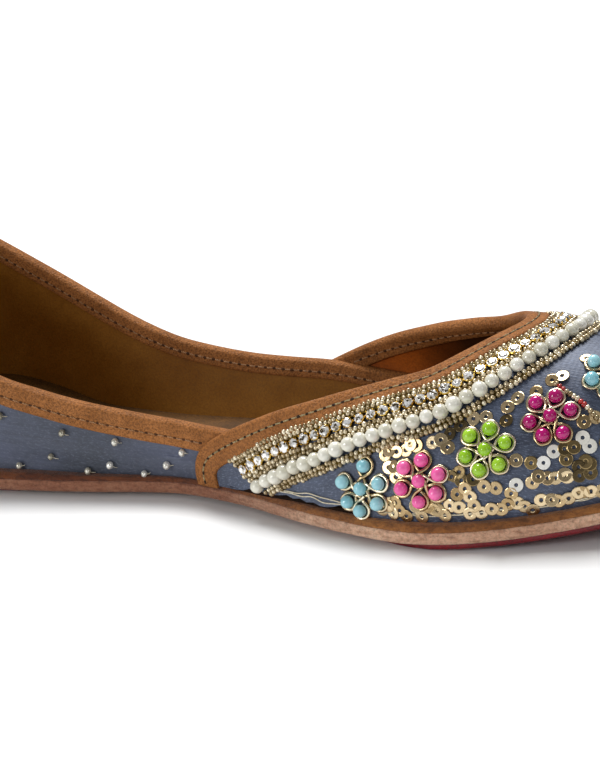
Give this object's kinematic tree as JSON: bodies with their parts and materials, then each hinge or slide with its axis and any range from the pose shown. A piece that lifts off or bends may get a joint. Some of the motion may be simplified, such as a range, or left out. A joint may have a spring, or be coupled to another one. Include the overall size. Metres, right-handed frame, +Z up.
{
  "type": "mojari shoe",
  "caption": "Left flat mojari: low hollow upper with lapped vamp wings, folded bindings, insole and a leather sole with thin guards under heel and forepart.",
  "frame": {"origin": "on the floor, under the middle of the shoe's length and width", "axes": "+X to the toe, +Y to the outer (lateral) side, +Z up"},
  "size_m": [0.242, 0.0784, 0.0575],
  "materials": {
    "red_leather": "painted, half gloss",
    "pale_leather": "raw cut edge, matt",
    "dark_leather": "rough stained edge, matt",
    "lining_leather": "smooth, half matt",
    "slate_satin": "satin weave",
    "tan_leather": "grained, half matt",
    "gold_wire": "coiled wire, thread, chain cups and sequins",
    "pearl_beads": "pearlescent, glossy",
    "glass_beads": "lustred clear glass",
    "coloured_beads": "opaque, glossy"
  },
  "bodies": {
    "root": {"heel_guard": "red_leather", "forepart_guard": "red_leather", "outsole": "pale_leather", "midsole": "dark_leather", "insole": "lining_leather", "upper": "slate_satin", "collar_binding": "tan_leather", "throat_binding": "tan_leather"}
  },
  "joints": []
}
